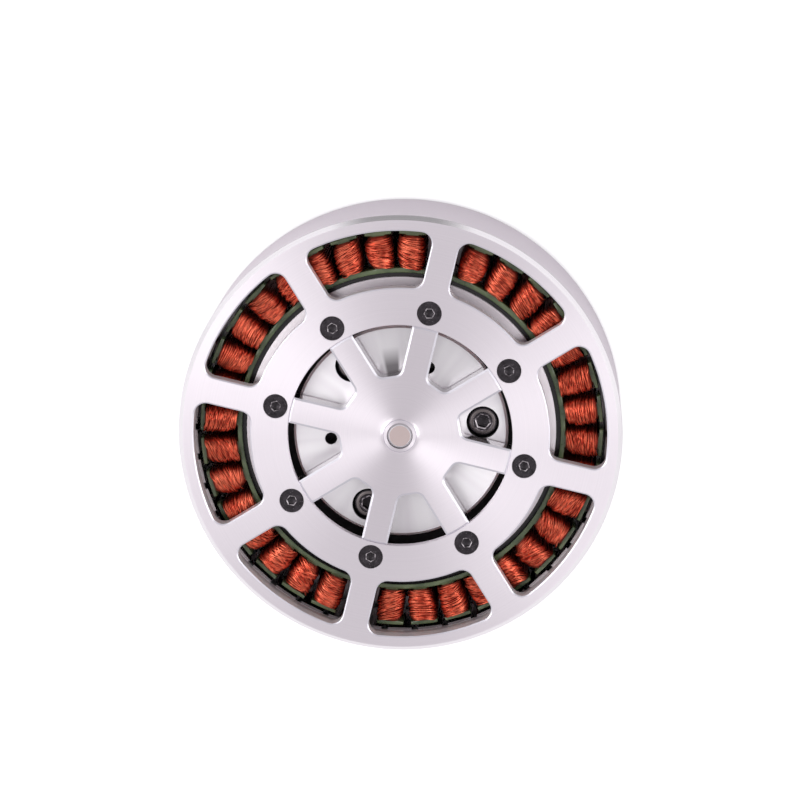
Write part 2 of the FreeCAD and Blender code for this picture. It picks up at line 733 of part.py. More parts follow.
def make_cap_screws():
    """Socket head cap screws, from the floor down into the base plate."""
    body = new_body("cap_screws")
    shank_plan = new_sketch(body, "cap_shank_circle", lift=CAP_TIP, turn=CAP_ANGLE)
    circle(shank_plan, "Sizes.cap_screw_radius", "Sizes.cap_screw_circle")
    shank = pad(body, shank_plan, "cap_shank", f"{CAP_SEAT} - {CAP_TIP}")
    head_plan = new_sketch(body, "cap_head_circle", lift=CAP_SEAT, turn=CAP_ANGLE)
    circle(head_plan, "Sizes.cap_screw_head_radius", "Sizes.cap_screw_circle")
    head = pad(body, head_plan, "cap_head", "Sizes.cap_screw_head_height")
    key = new_sketch(body, "cap_socket_outline", lift=CAP_TOP, turn=CAP_ANGLE)
    outline(key, hex_corners("Sizes.cap_screw_circle", "Sizes.cap_screw_socket"))
    socket = pocket(body, key, "cap_socket", "Sizes.cap_screw_socket_depth")
    around(body, [shank, head, socket], "cap_screw_set", "Sizes.cap_screw_count")


def slot_outline(drawing, margin="0"):
    """A slot along an arc about Z with round ends, widened by a margin."""
    inner = f"({SLOT_INNER} - {margin})"
    outer = f"({SLOT_OUTER} + {margin})"
    end = f"({outer} - {inner}) / 2 * (1 + Sizes.slot_end_ease)"
    angle = "(Sizes.slot_half_angle * 1 deg)"
    outline(drawing, [
        polar(inner, f"-{angle}"),
        polar(outer, f"-{angle}"),
        polar(outer, angle),
        polar(inner, angle),
    ], {0: end, 1: outer, 2: end, 3: f"-{inner}"})


def make_base_plate():
    """Rear flange: shaft bore, tapped holes, mounting holes and cooling slots under the coils."""
    body = new_body("base_plate")
    turned(body, "plate_turning", [
        (BASE_BORE, "0"),
        (f"{BASE_RADIUS} - Sizes.base_chamfer", "0"),
        (BASE_RADIUS, "Sizes.base_chamfer"),
        (BASE_RADIUS, BASE_TOP),
        (BASE_BORE, BASE_TOP),
    ])
    tapped = hole(
        body, "cap_screw_thread", "Sizes.cap_screw_radius", BASE_TOP, BASE_TOP,
        "Sizes.cap_screw_circle", turn=CAP_ANGLE,
    )
    around(body, [tapped], "cap_screw_threads", "Sizes.cap_screw_count")
    mount = hole(
        body, "mount_hole", "Sizes.mount_hole_radius", BASE_TOP, BASE_TOP, "Sizes.mount_circle",
    )
    around(body, [mount], "mount_holes", "Sizes.mount_hole_count")
    plan = new_sketch(body, "slot_plan", lift=BASE_TOP)
    slot_outline(plan)
    slot = pocket(body, plan, "slot", BASE_TOP)
    around(body, [slot], "slots", "Sizes.slot_count")


def make_lead_grommet():
    """Rubber grommet that fills the slot on the -X side, with a hole for each phase lead."""
    body = new_body("lead_grommet")
    plan = new_sketch(body, "grommet_plan", turn="180 deg", lift="Sizes.base_chamfer")
    slot_outline(plan)
    pad(body, plan, "grommet_body", f"{BASE_TOP} - Sizes.base_chamfer")
    lip_plan = new_sketch(body, "grommet_lip_plan", turn="180 deg", lift=BASE_TOP)
    slot_outline(lip_plan, "Sizes.grommet_lip_width")
    pad(body, lip_plan, "grommet_lip", "Sizes.grommet_lip")
    top = f"({BASE_TOP} + Sizes.grommet_lip)"
    middle = f"-({SLOT_INNER} + {SLOT_OUTER}) / 2"
    for place, side in (("left", "-1"), ("middle", "0"), ("right", "1")):
        hole(
            body, f"lead_hole_{place}", "Sizes.lead_hole_radius", top, top, middle,
            f"{side} * Sizes.lead_hole_pitch",
        )


# Bearings and what sits round the shaft --------------------------------------------------------

def make_bearing(side, foot, top, radius, inner_wall):
    """A sealed bearing, closed between its rings apart from the gap that lets them turn."""
    inner_edge = f"(Sizes.shaft_radius + {inner_wall})"
    inner_name = f"{side}_bearing_inner_ring"
    keep(ring(inner_name, "Sizes.shaft_radius", inner_edge, foot, top), inner_name)
    outer_name = f"{side}_bearing_outer_ring"
    keep(ring(outer_name, f"{inner_edge} + Sizes.shield_gap", radius, foot, top), outer_name)


def make_shaft_stack():
    """Spacer, preload washer and the two retaining rings."""
    spacer = ring(
        "bearing_spacer", "Sizes.shaft_radius", "Sizes.shaft_radius + Sizes.spacer_wall",
        REAR_TOP, FRONT_FOOT,
    )
    keep(spacer, "bearing_spacer")
    washer = ring(
        "preload_washer", "Sizes.rear_bearing_radius - Sizes.washer_width",
        "Sizes.rear_bearing_radius", REAR_TOP, WASHER_TOP,
    )
    keep(washer, "preload_washer")
    groove = "(Sizes.rear_bearing_radius + Sizes.bore_ring_depth)"
    bore_ring = open_ring(
        "bore_retaining_ring", f"{groove} - Sizes.bore_ring_width", groove,
        f"({REAR_FOOT} - Sizes.bore_ring_thickness)", REAR_FOOT,
    )
    keep(bore_ring, "bore_retaining_ring")
    root = "(Sizes.shaft_radius - Sizes.shaft_ring_depth)"
    shaft_ring = open_ring(
        "shaft_retaining_ring", root, f"{root} + Sizes.shaft_ring_width",
        f"({REAR_FOOT} - Sizes.shaft_ring_thickness)", REAR_FOOT,
    )
    keep(shaft_ring, "shaft_retaining_ring")


def check_and_export():
    """Stop on any failed object, and write each sub-part to its own file."""
    doc.recompute()
    for item in doc.Objects:
        if "Invalid" in item.State or "Error" in item.State:
            raise RuntimeError(f"{item.Label} failed: {item.State}")
    os.makedirs("parts", exist_ok=True)
    for node in nodes:
        shape = node.Shape
        if shape.isNull() or not shape.isValid() or not shape.Solids:
            raise RuntimeError(f"{node.Label} has no sound solid")
        shape.exportStep(os.path.join("parts", f"{node.Label}.step"))
        print(f"{node.Label:28s} {len(shape.Solids):3d} solids {shape.Volume:10.1f} mm3")


make_rotor_bell()
make_rotor_skirt()
make_rotor_hub()
make_face_screws()
make_shaft()
make_flux_ring()
make_magnets("magnets_north", "0")
make_magnets("magnets_south", "(180 / Sizes.magnet_pair_count * 1 deg)")
make_stator_core()
make_coils("coils_phase_a", "0")
make_coils("coils_phase_b", f"2 * {TOOTH_ANGLE}")
make_coils("coils_phase_c", f"4 * {TOOTH_ANGLE}")
make_bearing_housing()
make_stator_flange()
make_core_sleeve()
make_cap_screws()
make_base_plate()
make_lead_grommet()
make_bearing("front", FRONT_FOOT, FRONT_TOP, "Sizes.front_bearing_radius", "Sizes.front_inner_wall")
make_bearing("rear", REAR_FOOT, REAR_TOP, "Sizes.rear_bearing_radius", "Sizes.rear_inner_wall")
make_shaft_stack()
check_and_export()
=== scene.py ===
"""Joint actuator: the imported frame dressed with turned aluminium, wound copper coils and screws."""

import math
import random

import bmesh
import bpy
from mathutils import Matrix, Vector


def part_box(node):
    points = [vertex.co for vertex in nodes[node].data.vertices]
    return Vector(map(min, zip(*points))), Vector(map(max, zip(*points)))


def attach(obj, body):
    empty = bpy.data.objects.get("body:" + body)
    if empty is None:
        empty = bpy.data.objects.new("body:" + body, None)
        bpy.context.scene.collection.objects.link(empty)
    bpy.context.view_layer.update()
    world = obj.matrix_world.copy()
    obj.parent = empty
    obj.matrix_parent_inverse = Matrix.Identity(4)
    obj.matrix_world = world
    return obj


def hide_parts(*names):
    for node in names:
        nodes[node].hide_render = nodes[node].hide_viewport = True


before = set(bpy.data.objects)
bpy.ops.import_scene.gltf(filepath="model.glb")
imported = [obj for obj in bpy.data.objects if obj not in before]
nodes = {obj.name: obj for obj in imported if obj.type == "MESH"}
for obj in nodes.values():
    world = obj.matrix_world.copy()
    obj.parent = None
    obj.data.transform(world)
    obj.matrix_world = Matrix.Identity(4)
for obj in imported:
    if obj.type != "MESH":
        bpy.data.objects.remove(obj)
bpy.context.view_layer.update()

# Sizes in millimetres; meshes are scaled to metres when they are finished -------------------------

MM = 0.001


def height(node, top=True):
    """The top or foot of a CAD node, in millimetres."""
    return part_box(node)[1 if top else 0][2] / MM


def reach(node):
    """The largest radius of a CAD node about the shaft, in millimetres."""
    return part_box(node)[1][0] / MM


FACE_TOP = height("rotor_bell")
FACE_THICKNESS = 3.8
FACE_FOOT = FACE_TOP - FACE_THICKNESS
LIP_FOOT = FACE_TOP - 2.0
RIM = reach("rotor_bell")
RIM_CHAMFER = 1.1
SKIRT_FOOT = height("rotor_skirt", top=False)
FLUX_OUTER = reach("flux_ring")
MAGNET_TOP = height("magnets_north")
BORE = 27.3
RECESS = 34.8
WINDOW_INNER = 36.4
WINDOW_OUTER = RIM - 3.7
WINDOW_CORNER = 2.8
WINDOW_LEDGE = 0.25
HALF_BAR = 3.25
ARM_COUNT = 8
ARM_PITCH = 360 / ARM_COUNT
HUB_RADIUS = BORE - 0.03
HALF_ARM = 3.2
POCKET_START = 14.8
POCKET_CORNER = 2.0
TONGUE_START = 26.5
TONGUE_END = 34.5
HUB_DISH = 0.6
COLLAR = 4.05
COLLAR_FOOT = 4.9
COLLAR_TOP = FACE_TOP - 0.1
BOSS = 4.4
BOSS_FOOT = height("rotor_hub", top=False)
HUB_FOOT = height("bearing_housing") + 0.4
TONGUE_FOOT = LIP_FOOT - 4.0
TONGUE_EDGE = 0.2
SHAFT = 3.0
SCREW_CIRCLE = 31.0
SCREW_HEAD = 3.0
SCREW_SHANK = 1.5
SCREW_LENGTH = 6.0
SCREW_KEY = 2.0
SCREW_KEY_DEPTH = 1.1
SCREW_TURN = 37.0
SCREW_ROOM = 0.1
CAP_COUNT = 3
CAP_START = 20
CAP_CIRCLE = 20.1
CAP_TOP = height("cap_screws")
CAP_FOOT = height("cap_screws", top=False)
CAP_HEAD = 3.5
CAP_HEAD_HEIGHT = 4.0
CAP_SHANK = 2.0
CAP_KEY = 3.0
CAP_KEY_DEPTH = 2.2
CAP_TURN = 20.0
SOCKET_DROP = 0.12
FIT = 0.02
CORE_TOP = height("stator_core")
CORE_FOOT = height("stator_core", top=False)
SLEEVE = reach("core_sleeve")
BARE_TOP = CORE_TOP - 1.7
BARE_RADIUS = 38.9
YOKE = SLEEVE + 2.3
TIP = reach("stator_core")
HALF_TOOTH = 1.6
HALF_TIP = 3.3
TIP_ROOT = 1.05
TIP_THICKNESS = 0.95
HALF_GAP_TURN = 4.95
COAT_ROUND = 0.3
CORE_EDGE = 0.1
COIL_COUNT = 36
COIL_TOP = height("coils_phase_a")
COIL_FOOT = height("coils_phase_a", top=False)
COIL_START = 40.2
COIL_END = 48.2
COIL_HALF_WIDTH = 3.12
COIL_SPREAD = 0.4
COIL_CROWN = 0.4
END_TURN_RISE = 2.5
PAIR_COUNT = 6
WIRE_RADIUS = 0.18
WIRE_SIDES = 6
CLOSE_STRANDS = 18
LOOSE_STRANDS = 10
WINDING_SEED = 41

# Corners in a circle, and the angles in degrees past which an edge stays sharp
FINE = 256
SCREW_SEGMENTS = 48
CAP_SEGMENTS = 64
BEVEL_CREASE = 25
SCREW_CREASE = 30
CORE_CREASE = 50
WIRE_CREASE = 60

# Material slots of the screws, after the plain oxide
RUBBED_HIGHLIGHT_SLOT = 1
WORN_SLOT = 2


# Outlines in plan: material lies on the left of each, so holes run clockwise ----------------------

def polar(radius, degrees):
    """A point at a radius and an angle about the shaft."""
    turn = math.radians(degrees)
    return (radius * math.cos(turn), radius * math.sin(turn))


def arc(centre, radius, start, end, count):
    """Points on an arc between two angles in degrees, ends included."""
    return [
        (centre[0] + radius * math.cos(math.radians(start + (end - start) * step / count)),
         centre[1] + radius * math.sin(math.radians(start + (end - start) * step / count)))
        for step in range(count + 1)
    ]


def circle(radius, count=FINE, centre=(0, 0)):
    """Points on a whole circle, from its +X side and anticlockwise."""
    return [(centre[0] + radius * math.cos(math.tau * step / count),
             centre[1] + radius * math.sin(math.tau * step / count)) for step in range(count)]


def turned(points, degrees):
    """The points turned about the shaft."""
    turn = math.radians(degrees)
    cos, sin = math.cos(turn), math.sin(turn)
    return [(x * cos - y * sin, x * sin + y * cos) for x, y in points]


def mirrored(points, degrees):
    """The points mirrored in a line through the origin at an angle, in reverse order."""
    turn = math.radians(2 * degrees)
    cos, sin = math.cos(turn), math.sin(turn)
    return [(x * cos + y * sin, x * sin - y * cos) for x, y in reversed(points)]


def inset(points, distance):
    """A closed outline moved to its left by a distance."""
    moved = []
    for number, here in enumerate(points):
        before, after = points[number - 1], points[(number + 1) % len(points)]
        one = Vector((here[0] - before[0], here[1] - before[1])).normalized()
        two = Vector((after[0] - here[0], after[1] - here[1])).normalized()
        normal = Vector((-one.y - two.y, one.x + two.x)).normalized()
        lean = max(0.4, normal.dot(Vector((-one.y, one.x))))
        moved.append((here[0] + normal.x * distance / lean, here[1] + normal.y * distance / lean))
    return moved


def window_outline(number):
    """One window of the face: two arcs about the shaft and two sides beside the bars."""
    side = HALF_BAR + WINDOW_CORNER
    near = math.sqrt((WINDOW_INNER + WINDOW_CORNER) ** 2 - side ** 2)
    far = math.sqrt((WINDOW_OUTER - WINDOW_CORNER) ** 2 - side ** 2)
    near_angle = math.degrees(math.atan2(side, near))
    far_angle = math.degrees(math.atan2(side, far))
    corners = arc((near, side), WINDOW_CORNER, near_angle - 180, -90, 8)
    corners += arc((far, side), WINDOW_CORNER, -90, far_angle, 8)
    outer = arc((0, 0), WINDOW_OUTER, far_angle, ARM_PITCH / 2, 14)[1:-1]
    inner = arc((0, 0), WINDOW_INNER, ARM_PITCH / 2, near_angle, 10)[:-1]
    half = inner + corners + outer
    whole = half + mirrored(half[1:], ARM_PITCH / 2)
    return turned(whole, ARM_PITCH * number)[::-1]


def hub_outline():
    """Eight arms that end on a circle, with a pocket of rounded corners between each pair."""
    slope = math.radians(ARM_PITCH / 2)
    side = HALF_ARM + POCKET_CORNER
    along = (POCKET_START + POCKET_CORNER - side * math.sin(slope)) / math.cos(slope)
    end_angle = math.degrees(math.asin(HALF_ARM / HUB_RADIUS))
    arm = arc((0, 0), HUB_RADIUS, 0, end_angle, 5)
    corner = arc((along, side), POCKET_CORNER, -90, ARM_PITCH / 2 - 180, 7)
    half = arm + corner
    whole = half + mirrored(half, ARM_PITCH / 2)[:-1]
    return [point for number in range(ARM_COUNT) for point in turned(whole, ARM_PITCH * number)]


# Mesh building ------------------------------------------------------------------------------------

class Shell:
    """A mesh under construction, in millimetres."""

    def __init__(self):
        self.mesh = bmesh.new()

    def loop(self, points, level):
        """Corners along an outline; level is a height, or a function of the radius."""
        find = level if callable(level) else lambda radius: level
        return [self.mesh.verts.new((x, y, find(math.hypot(x, y)))) for x, y in points]

    def strip(self, low, high):
        """Faces between two closed loops of as many corners."""
        for number in range(len(low)):
            after = (number + 1) % len(low)
            self.mesh.faces.new((low[number], low[after], high[after], high[number]))

    def strips(self, loops):
        """Faces between each loop and the next."""
        for low, high in zip(loops, loops[1:]):
            self.strip(low, high)

    def cap(self, *loops):
        """Fill the area between closed loops of corners."""
        edges = []
        for loop in loops:
            for number in range(len(loop)):
                pair = (loop[number], loop[(number + 1) % len(loop)])
                edges.append(self.mesh.edges.get(pair) or self.mesh.edges.new(pair))
        bmesh.ops.triangle_fill(self.mesh, edges=edges, use_beauty=True, normal=(0, 0, 1))

    def paint(self, corners, slot):
        """Give a material slot to the faces that lie between these corners alone."""
        inside = set(corners)
        for face in {face for corner in corners for face in corner.link_faces}:
            if inside.issuperset(face.verts):
                face.material_index = slot

    def lathe(self, profile, count=FINE, centre=(0, 0), closed=False):
        """Rings through a profile of (radius, height) pairs."""
        rings = [self.loop(circle(radius, count, centre), level) for radius, level in profile]
        self.strips(rings + rings[:1] if closed else rings)
        return rings

    def finish(self, name, materials, body, crease):
        """Close the mesh into an object in metres that rides on a body, with a material per slot."""
        bmesh.ops.remove_doubles(self.mesh, verts=self.mesh.verts, dist=1e-4)
        bmesh.ops.recalc_face_normals(self.mesh, faces=self.mesh.faces)
        bmesh.ops.transform(self.mesh, matrix=Matrix.Scale(MM, 4), verts=self.mesh.verts)
        data = bpy.data.meshes.new(name)
        self.mesh.to_mesh(data)
        self.mesh.free()
        return place(name, data, materials, body, crease)


def place(name, data, materials, body, crease):
    """Put a mesh into the scene, smooth up to a crease angle in degrees."""
    data.polygons.foreach_set("use_smooth", [True] * len(data.polygons))
    data.set_sharp_from_angle(angle=math.radians(crease))
    for material in materials:
        data.materials.append(material)
    piece = bpy.data.objects.new(name, data)
    bpy.context.scene.collection.objects.link(piece)
    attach(piece, body)
    return piece


def soften(node, width, segments=2):
    """Small bevels along the sharp edges of a CAD node."""
    bevel = nodes[node].modifiers.new("edges", "BEVEL")
    bevel.width = width * MM
    bevel.segments = segments
    bevel.limit_method = "ANGLE"
    bevel.angle_limit = math.radians(40)
    bevel.harden_normals = False
    bevel.use_clamp_overlap = True
    return bevel


# Materials ----------------------------------------------------------------------------------------

class Recipe:
    """A procedural material built node by node."""

    def __init__(self, name):
        self.material = bpy.data.materials.new(name)
        self.material.use_nodes = True
        self.tree = self.material.node_tree
        self.shader = next(n for n in self.tree.nodes if n.type == "BSDF_PRINCIPLED")
        self.place = self.add("ShaderNodeTexCoord").outputs["Object"]

    def add(self, kind, inputs=None, **settings):
        """A new node, with its inputs by name or number and its settings."""
        node = self.tree.nodes.new(kind)
        for name, setting in settings.items():
            setattr(node, name, setting)
        for name, content in (inputs or {}).items():
            self.give(node.inputs[name], content)
        return node

    def give(self, socket, content):
        """Link an output to a socket, or write a plain value into it."""
        if isinstance(content, bpy.types.NodeSocket):
            self.tree.links.new(content, socket)
        else:
            socket.default_value = content

    def set(self, **inputs):
        """Inputs of the shader; an underscore in a name stands for a space."""
        for name, content in inputs.items():
            self.give(self.shader.inputs[name.replace("_", " ")], content)
        return self

    def maths(self, operation, one, two=0.0):
        """The result of a sum on one or two numbers."""
        return self.add("ShaderNodeMath", {0: one, 1: two}, operation=operation).outputs[0]

    def noise(self, scale, detail=2.0, roughness=0.5, where=None):
        """A noise pattern from 0 to 1, over the object's own place or another."""
        inputs = {"Vector": where or self.place, "Scale": scale, "Detail": detail}
        return self.add("ShaderNodeTexNoise", {**inputs, "Roughness": roughness}).outputs["Fac"]

    def from_axis(self):
        """Object coordinates, and the distance from the shaft's axis, in metres."""
        parts = self.add("ShaderNodeSeparateXYZ", {0: self.place}).outputs
        squares = [self.maths("POWER", parts[axis], 2.0) for axis in (0, 1)]
        return parts, self.maths("SQRT", self.maths("ADD", *squares))

    def around(self):
        """(radius in mm, turn in radians, height in mm) about the shaft."""
        parts, distance = self.from_axis()
        radius = self.maths("MULTIPLY", distance, 1000.0)
        turn = self.maths("ARCTAN2", parts[1], parts[0])
        return radius, turn, self.maths("MULTIPLY", parts[2], 1000.0)

    def join(self, x, y, z):
        """Three numbers as one place."""
        return self.add("ShaderNodeCombineXYZ", {0: x, 1: y, 2: z}).outputs[0]

    def blend(self, share, one, two):
        """A colour between two, by a share."""
        node = self.add("ShaderNodeMix", data_type="RGBA")
        for socket, content in zip((node.inputs[0], node.inputs[6], node.inputs[7]), (share, one, two)):
            self.give(socket, content)
        return node.outputs[2]

    def span(self, share, low, high, start=0.0, end=1.0):
        """A number spread from one range to another, and held at its ends."""
        inputs = {0: share, 1: start, 2: end, 3: low, 4: high}
        return self.add("ShaderNodeMapRange", inputs).outputs[0]

    def mottle(self, pattern, one, two, start=0.3, end=0.7):
        """A colour between two, by a noise pattern with more contrast."""
        return self.blend(self.span(pattern, 0.0, 1.0, start, end), one, two)

    def bump(self, level, strength, distance):
        """Fine relief on the surface, a distance deep in metres."""
        inputs = {"Height": level, "Strength": strength, "Distance": distance}
        self.set(Normal=self.add("ShaderNodeBump", inputs).outputs[0])
        return self


def turned_metal(name, tint, roughness, anisotropy, line_pitch=0.35, line_depth=0.15):
    """Lathe-turned metal: a sheen across fine circular tool lines about the shaft."""
    recipe = Recipe(name)
    radius, _, level = recipe.around()
    track = recipe.maths("ADD", radius, recipe.maths("MULTIPLY", level, 0.7))
    across = recipe.join(recipe.maths("DIVIDE", track, line_pitch), 0.0, 0.0)
    lines = recipe.noise(1.0, 3.0, 0.6, across)
    cloud = recipe.noise(60.0, 2.0)
    tangent = recipe.add("ShaderNodeTangent", direction_type="RADIAL", axis="Z").outputs[0]
    dim = tuple(channel * 0.95 for channel in tint[:3]) + (1,)
    uneven = recipe.maths("ADD", lines, cloud)
    recipe.set(
        Base_Color=recipe.mottle(lines, dim, tint),
        Metallic=1.0,
        Roughness=recipe.span(uneven, roughness * 0.93, roughness * 1.07, 0.6, 1.4),
        Anisotropic=anisotropy,
        Anisotropic_Rotation=0.25,
        Tangent=tangent,
    )
    recipe.bump(lines, line_depth, 0.00002)
    return recipe.material


def plain_metal(name, tint, roughness, grain=900.0, depth=0.1, metallic=1.0):
    """Metal with a fine grain and a faint mottle."""
    recipe = Recipe(name)
    fine = recipe.noise(grain, 3.0, 0.6)
    patch = recipe.noise(80.0, 2.0)
    dim = tuple(channel * 0.85 for channel in tint[:3]) + (1,)
    recipe.set(
        Base_Color=recipe.blend(patch, dim, tint),
        Metallic=metallic,
        Roughness=recipe.span(fine, roughness * 0.8, roughness * 1.25, 0.3, 0.7),
    )
    recipe.bump(fine, depth, 0.00002)
    return recipe.material


def black_oxide(name):
    """Dark oxide with a soft sheen and a few fine rubbed specks."""
    recipe = Recipe(name)
    cloud = recipe.noise(700.0, 3.0, 0.6)
    speck = recipe.span(recipe.noise(3600.0, 1.0), 0.0, 0.6, 0.68, 0.76)
    base = recipe.mottle(cloud, (0.018, 0.015, 0.018, 1), (0.05, 0.042, 0.05, 1))
    recipe.set(
        Base_Color=recipe.blend(speck, base, (0.26, 0.24, 0.26, 1)),
        Metallic=recipe.span(speck, 0.6, 1.0),
        Roughness=recipe.span(cloud, 0.25, 0.4, 0.3, 0.7),
    )
    recipe.bump(recipe.noise(2500.0, 2.0), 0.3, 0.00004)
    return recipe.material


def rubbed_highlight_steel(name):
    """Steel where the oxide has worn off an edge, also standing as a painted highlight on the socket edges.
    """
    recipe = Recipe(name)
    patch = recipe.noise(1300.0, 2.0)
    recipe.set(
        Base_Color=recipe.mottle(patch, (0.12, 0.105, 0.115, 1), (0.66, 0.61, 0.64, 1), 0.4, 0.6),
        Metallic=1.0,
        Roughness=0.3,
    )
    return recipe.material


def copper_wire(name):
    """Reddish enamel over copper, with lighter and darker strands, painted highlights in patches, and
    painted shade lower down the coil.
    """
    recipe = Recipe(name)
    radius, turn, level = recipe.around()
    strands = recipe.noise(1.0, 2.0, 0.5, recipe.join(
        recipe.maths("MULTIPLY", radius, 2.6), recipe.maths("MULTIPLY", turn, 26.0),
        recipe.maths("MULTIPLY", level, 0.3)))
    patch = recipe.noise(260.0, 2.0)
    # Painted shade: the colour darkens lower down the coil, towards the slots.
    deep = recipe.span(level, 0.0, 1.0, COIL_TOP - 2.6, COIL_TOP - 0.9)
    tone = recipe.mottle(strands, (0.44, 0.042, 0.021, 1), (0.95, 0.185, 0.098, 1), 0.4, 0.6)
    # Painted highlight: random patches lean towards a lit orange.
    lit = recipe.blend(recipe.span(patch, 0.0, 0.35, 0.4, 0.7), tone, (1.0, 0.31, 0.175, 1))
    recipe.set(
        Base_Color=recipe.blend(deep, (0.50, 0.06, 0.04, 1), lit),
        Metallic=0.85,
        Roughness=recipe.span(patch, 0.27, 0.36, 0.3, 0.7),
    )
    return recipe.material


def core_coating(name):
    """Green insulating coat on the teeth and yoke, and bare dark steel round the bore."""
    recipe = Recipe(name)
    radius = recipe.around()[0]
    bare = recipe.span(radius, 1.0, 0.0, BARE_RADIUS + 0.05, BARE_RADIUS + 0.12)
    patch = recipe.noise(220.0, 3.0)
    green = recipe.mottle(patch, (0.055, 0.09, 0.042, 1), (0.15, 0.20, 0.095, 1))
    recipe.set(
        Base_Color=recipe.blend(bare, green, (0.022, 0.02, 0.021, 1)),
        Roughness=recipe.span(patch, 0.22, 0.36, 0.3, 0.7),
        Metallic=recipe.span(bare, 0.0, 0.5),
        Coat_Weight=0.4,
        Coat_Roughness=0.12,
    )
    recipe.bump(patch, 0.2, 0.0001)
    return recipe.material


def housing_metal(name):
    """Polished floor with faint rays and a painted dark reflection streak beside the hub; below the floor
    level, its holes and the side below are painted near-black as shade.
    """
    recipe = Recipe(name)
    radius, turn, level = recipe.around()
    lines = recipe.noise(1.0, 3.0, 0.6, recipe.join(recipe.maths("DIVIDE", radius, 0.4), 0.0, 0.0))
    sides = (recipe.maths("COSINE", turn), recipe.maths("SINE", turn))
    across = [recipe.maths("MULTIPLY", side, 7.0) for side in sides]
    rays = recipe.noise(1.0, 1.5, 0.4, recipe.join(*across, recipe.maths("MULTIPLY", radius, 0.02)))
    # Painted shade: below the floor level the colour goes near-black and less metallic.
    floor = recipe.span(level, 0.0, 1.0, HUB_FOOT - 1.4, HUB_FOOT - 1.0)
    metal = recipe.mottle(rays, (0.86, 0.82, 0.86, 1), (1.0, 0.98, 1.0, 1), 0.25, 0.65)
    # Painted reflection: a dark streak beside the hub, fixed at one angle on the floor.
    streak_turn = 1.93
    aside = recipe.maths("ABSOLUTE", recipe.maths("SUBTRACT", turn, streak_turn))
    beside = recipe.span(aside, 0.8, 0.0, 0.08, 0.12)
    streak = recipe.maths("MULTIPLY", beside, recipe.span(radius, 1.0, 0.0, 16.5, 21.0))
    metal = recipe.blend(streak, metal, (0.16, 0.145, 0.155, 1))
    tangent = recipe.add("ShaderNodeTangent", direction_type="RADIAL", axis="Z").outputs[0]
    recipe.set(
        Base_Color=recipe.blend(floor, (0.012, 0.011, 0.012, 1), metal),
        Metallic=recipe.span(floor, 0.3, 1.0),
        Roughness=recipe.span(rays, 0.33, 0.40, 0.3, 0.7),
        Anisotropic=0.78,
        Anisotropic_Rotation=0.25,
        Tangent=tangent,
    )
    recipe.bump(lines, 0.05, 0.00002)
    return recipe.material


def dark_metal(name):
    """Near-black metal with a faint mottle, painted as the shade deep under the stator."""
    recipe = Recipe(name)
    patch = recipe.noise(300.0, 3.0)
    recipe.set(
        Base_Color=recipe.blend(patch, (0.008, 0.008, 0.009, 1), (0.018, 0.017, 0.018, 1)),
        Roughness=recipe.span(patch, 0.45, 0.6, 0.3, 0.7),
    )
    recipe.bump(patch, 0.15, 0.00005)
    return recipe.material


def ground_shaft(name):
    """Ground steel with a warm end face, and white chamfers as a painted highlight."""
    recipe = Recipe(name)
    radius = recipe.around()[0]
    fine = recipe.noise(900.0, 3.0, 0.6)
    warm = recipe.blend(recipe.noise(80.0, 2.0), (0.68, 0.57, 0.55, 1), (0.76, 0.62, 0.60, 1))
    # Painted highlight: from 2.55 mm out, over the chamfer and the side, the colour goes white and rougher.
    edge = recipe.span(radius, 0.0, 1.0, SHAFT - 0.5, SHAFT - 0.45)
    recipe.set(
        Base_Color=recipe.blend(edge, warm, (1.0, 0.98, 1.0, 1)),
        Metallic=1.0,
        Roughness=recipe.blend(edge, (0.34, 0.34, 0.34, 1), (0.5, 0.5, 0.5, 1)),
    )
    recipe.bump(fine, 0.1, 0.00002)
    return recipe.material


def magnet_nickel(name):
    """Nickel plate, dulled in patches."""
    recipe = Recipe(name)
    patch = recipe.noise(350.0, 3.0)
    recipe.set(
        Base_Color=recipe.blend(patch, (0.14, 0.13, 0.13, 1), (0.30, 0.285, 0.28, 1)),
        Metallic=1.0,
        Roughness=recipe.span(patch, 0.1, 0.24, 0.3, 0.7),
    )
    recipe.bump(patch, 0.1, 0.00003)
    return recipe.material


def rubber(name):
    """Matt black rubber."""
    recipe = Recipe(name)
    fine = recipe.noise(900.0, 3.0)
    recipe.set(
        Base_Color=recipe.blend(fine, (0.012, 0.012, 0.012, 1), (0.03, 0.03, 0.03, 1)),
        Roughness=recipe.span(fine, 0.55, 0.75, 0.3, 0.7),
    )
    recipe.bump(fine, 0.3, 0.00005)
    return recipe.material


face_metal = turned_metal("turned_face_metal", (0.93, 0.873, 0.925, 1), 0.405, 0.7)
hub_metal = turned_metal("turned_hub_metal", (0.95, 0.892, 0.945, 1), 0.35, 0.84)
rim_metal = turned_metal("turned_rim_metal", (1.0, 0.98, 1.0, 1), 0.13, 0.1, 0.35, 0.02)
cut_metal = plain_metal("cut_edge_metal", (0.80, 0.78, 0.84, 1), 0.38, 120.0, 0.03)
# Painted shade: a darker metal for the hub's side walls, collar wall and bore groove.
recess_shade_metal = plain_metal("recess_painted_shade_metal", (0.50, 0.48, 0.50, 1), 0.2, 250.0, 0.05)
window_wall = plain_metal("window_wall_metal", (0.82, 0.80, 0.82, 1), 0.35, 250.0, 0.05, 0.3)
plate_metal = turned_metal("turned_plate_metal", (0.80, 0.77, 0.80, 1), 0.3, 0.6)
sleeve_metal = turned_metal("turned_sleeve_metal", (0.97, 0.91, 0.95, 1), 0.38, 0.75)
housing_finish = housing_metal("polished_housing_metal")
